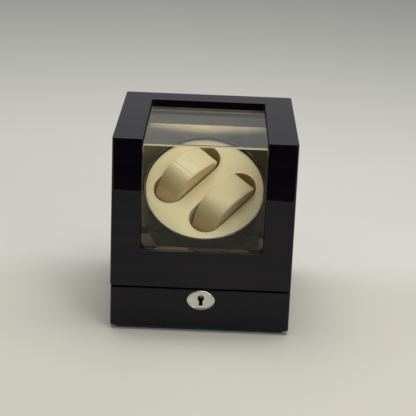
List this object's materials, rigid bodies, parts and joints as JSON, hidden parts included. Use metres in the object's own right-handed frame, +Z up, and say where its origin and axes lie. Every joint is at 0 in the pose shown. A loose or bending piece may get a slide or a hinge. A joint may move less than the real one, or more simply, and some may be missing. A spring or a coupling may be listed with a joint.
{
  "type": "watch winder box",
  "caption": "Lacquered box with a hinged lid, an L-shaped clear window, a locking base and a tilted motor-driven drum that carries watches on cushions.",
  "frame": {"origin": "middle of the box on the surface it stands on, at the underside of its felt", "axes": "+Z up, -Y towards the front with the lock, +X to the right seen from the front"},
  "size_m": [0.17, 0.185, 0.1878],
  "materials": {
    "ebony_lacquer": "high gloss black-brown lacquer over macassar veneer",
    "fibreboard": "raw fibreboard",
    "dark_felt": "dark felt",
    "beige_velvet": "short velvet on card",
    "clear_acrylic": "polished clear acrylic",
    "black_plastic": "glossy black moulding",
    "cream_face": "cream leatherette, satin",
    "cream_leatherette": "soft cream leatherette",
    "silver_plate": "polished silver plate",
    "zinc_steel": "zinc plated",
    "hinge_brass": "polished brass",
    "black_rubber": "matte rubber",
    "board_green": "solder mask"
  },
  "bodies": {
    "base": {"base_shell": "ebony_lacquer", "bottom_board": "fibreboard", "bottom_felt": "dark_felt", "deck_board": "beige_velvet", "deck_ledge": "fibreboard", "escutcheon": "silver_plate", "lock_case": "zinc_steel", "lock_cover": "zinc_steel", "lock_pin_post": "zinc_steel", "motor_bracket": "zinc_steel", "bracket_screw_left": "zinc_steel", "bracket_screw_right": "zinc_steel", "shaft_bush": "black_plastic", "motor_gearbox": "black_plastic", "gearbox_screw_left": "zinc_steel", "gearbox_screw_right": "zinc_steel", "motor_can": "zinc_steel", "drive_belt": "black_rubber", "control_plate": "black_plastic", "dc_jack": "black_plastic", "mode_switch_body": "black_plastic", "control_board": "board_green", "motor_cable": "black_rubber", "power_cable": "black_rubber", "hinge_left_base_leaf": "hinge_brass", "hinge_left_pin": "hinge_brass", "hinge_left_base_screw_1": "hinge_brass", "hinge_left_base_screw_2": "hinge_brass", "hinge_right_base_leaf": "hinge_brass", "hinge_right_pin": "hinge_brass", "hinge_right_base_screw_1": "hinge_brass", "hinge_right_base_screw_2": "hinge_brass"},
    "lid": {"lid_shell": "ebony_lacquer", "window_front_pane": "clear_acrylic", "window_top_pane": "clear_acrylic", "lid_lining_left": "beige_velvet", "lid_lining_right": "beige_velvet", "lid_lining_rear": "beige_velvet", "lid_lining_front": "beige_velvet", "lock_strike_plate": "zinc_steel", "strike_screw_left": "zinc_steel", "strike_screw_right": "zinc_steel", "hinge_left_lid_leaf": "hinge_brass", "hinge_left_lid_screw_1": "hinge_brass", "hinge_left_lid_screw_2": "hinge_brass", "hinge_right_lid_leaf": "hinge_brass", "hinge_right_lid_screw_1": "hinge_brass", "hinge_right_lid_screw_2": "hinge_brass"},
    "drum": {"drum_cup": "black_plastic", "drum_face": "cream_face", "slot_liner_upper": "cream_face", "slot_liner_lower": "cream_face", "drum_pulley": "black_plastic", "drum_shaft": "zinc_steel", "shaft_clip": "zinc_steel"},
    "pillow_upper": {"pillow_upper": "cream_leatherette"},
    "pillow_lower": {"pillow_lower": "cream_leatherette"},
    "motor_pulley": {"motor_pulley": "black_rubber"},
    "lock_bolt": {"lock_bolt": "zinc_steel"},
    "mode_knob": {"mode_knob": "black_plastic"}
  },
  "joints": [
    {"name": "lid_hinge", "type": "hinge", "parent": "base", "child": "lid", "pos_m": [0, 0.09025, 0.0435], "axis": [-1, 0, 0], "range_deg": [0, 85]},
    {"name": "drum_spin", "type": "hinge", "parent": "base", "child": "drum", "pos_m": [0, -0.01125, 0.1179], "axis": [0, -0.6428, 0.766], "continuous": true},
    {"name": "motor_spin", "type": "hinge", "parent": "base", "child": "motor_pulley", "pos_m": [0.038, -0.00665, 0.12176], "axis": [0, -0.6428, 0.766], "continuous": true},
    {"name": "pillow_upper_lift", "type": "slide", "parent": "drum", "child": "pillow_upper", "axis": [0, -0.6428, 0.766], "range_m": [0, 0.008]},
    {"name": "pillow_lower_lift", "type": "slide", "parent": "drum", "child": "pillow_lower", "axis": [0, -0.6428, 0.766], "range_m": [0, 0.008]},
    {"name": "lock_bolt_slide", "type": "slide", "parent": "base", "child": "lock_bolt", "axis": [1, 0, 0], "range_m": [0, 0.003]},
    {"name": "mode_knob_turn", "type": "hinge", "parent": "base", "child": "mode_knob", "pos_m": [0.021, 0.08945, 0.02145], "axis": [0, 1, 0], "range_deg": [0, 90]}
  ],
  "couplings": [
    {"joint": "motor_spin", "follows": "drum_spin", "ratio": 4.2203}
  ]
}
